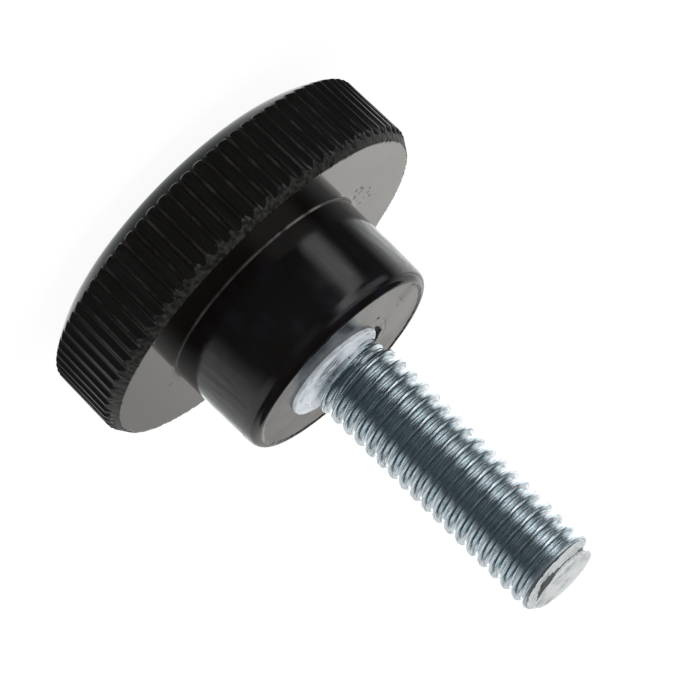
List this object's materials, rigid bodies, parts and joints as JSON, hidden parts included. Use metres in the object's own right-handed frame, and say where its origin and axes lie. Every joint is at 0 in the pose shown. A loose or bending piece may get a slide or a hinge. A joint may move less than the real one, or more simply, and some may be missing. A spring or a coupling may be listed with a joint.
{
  "type": "knurled knob",
  "caption": "Round domed hand knob with a finely fluted rim, a round hub behind it and a threaded metal stud moulded into the hub.",
  "frame": {"origin": "the middle of the crown, the point the knob stands on", "axes": "+Z from the crown to the end of the stud; X and Y across the head, +X towards the wider side of the collar"},
  "size_m": [0.0258, 0.0258, 0.0344],
  "materials": {
    "plastic": "smooth moulded black thermoset, glossy on the crown, flutes and underside and duller on the chamfer",
    "zinc_steel": "bright blue-white zinc plating with fine scratches along the stud"
  },
  "bodies": {
    "root": {"knob": "plastic", "stud": "zinc_steel"}
  },
  "joints": []
}
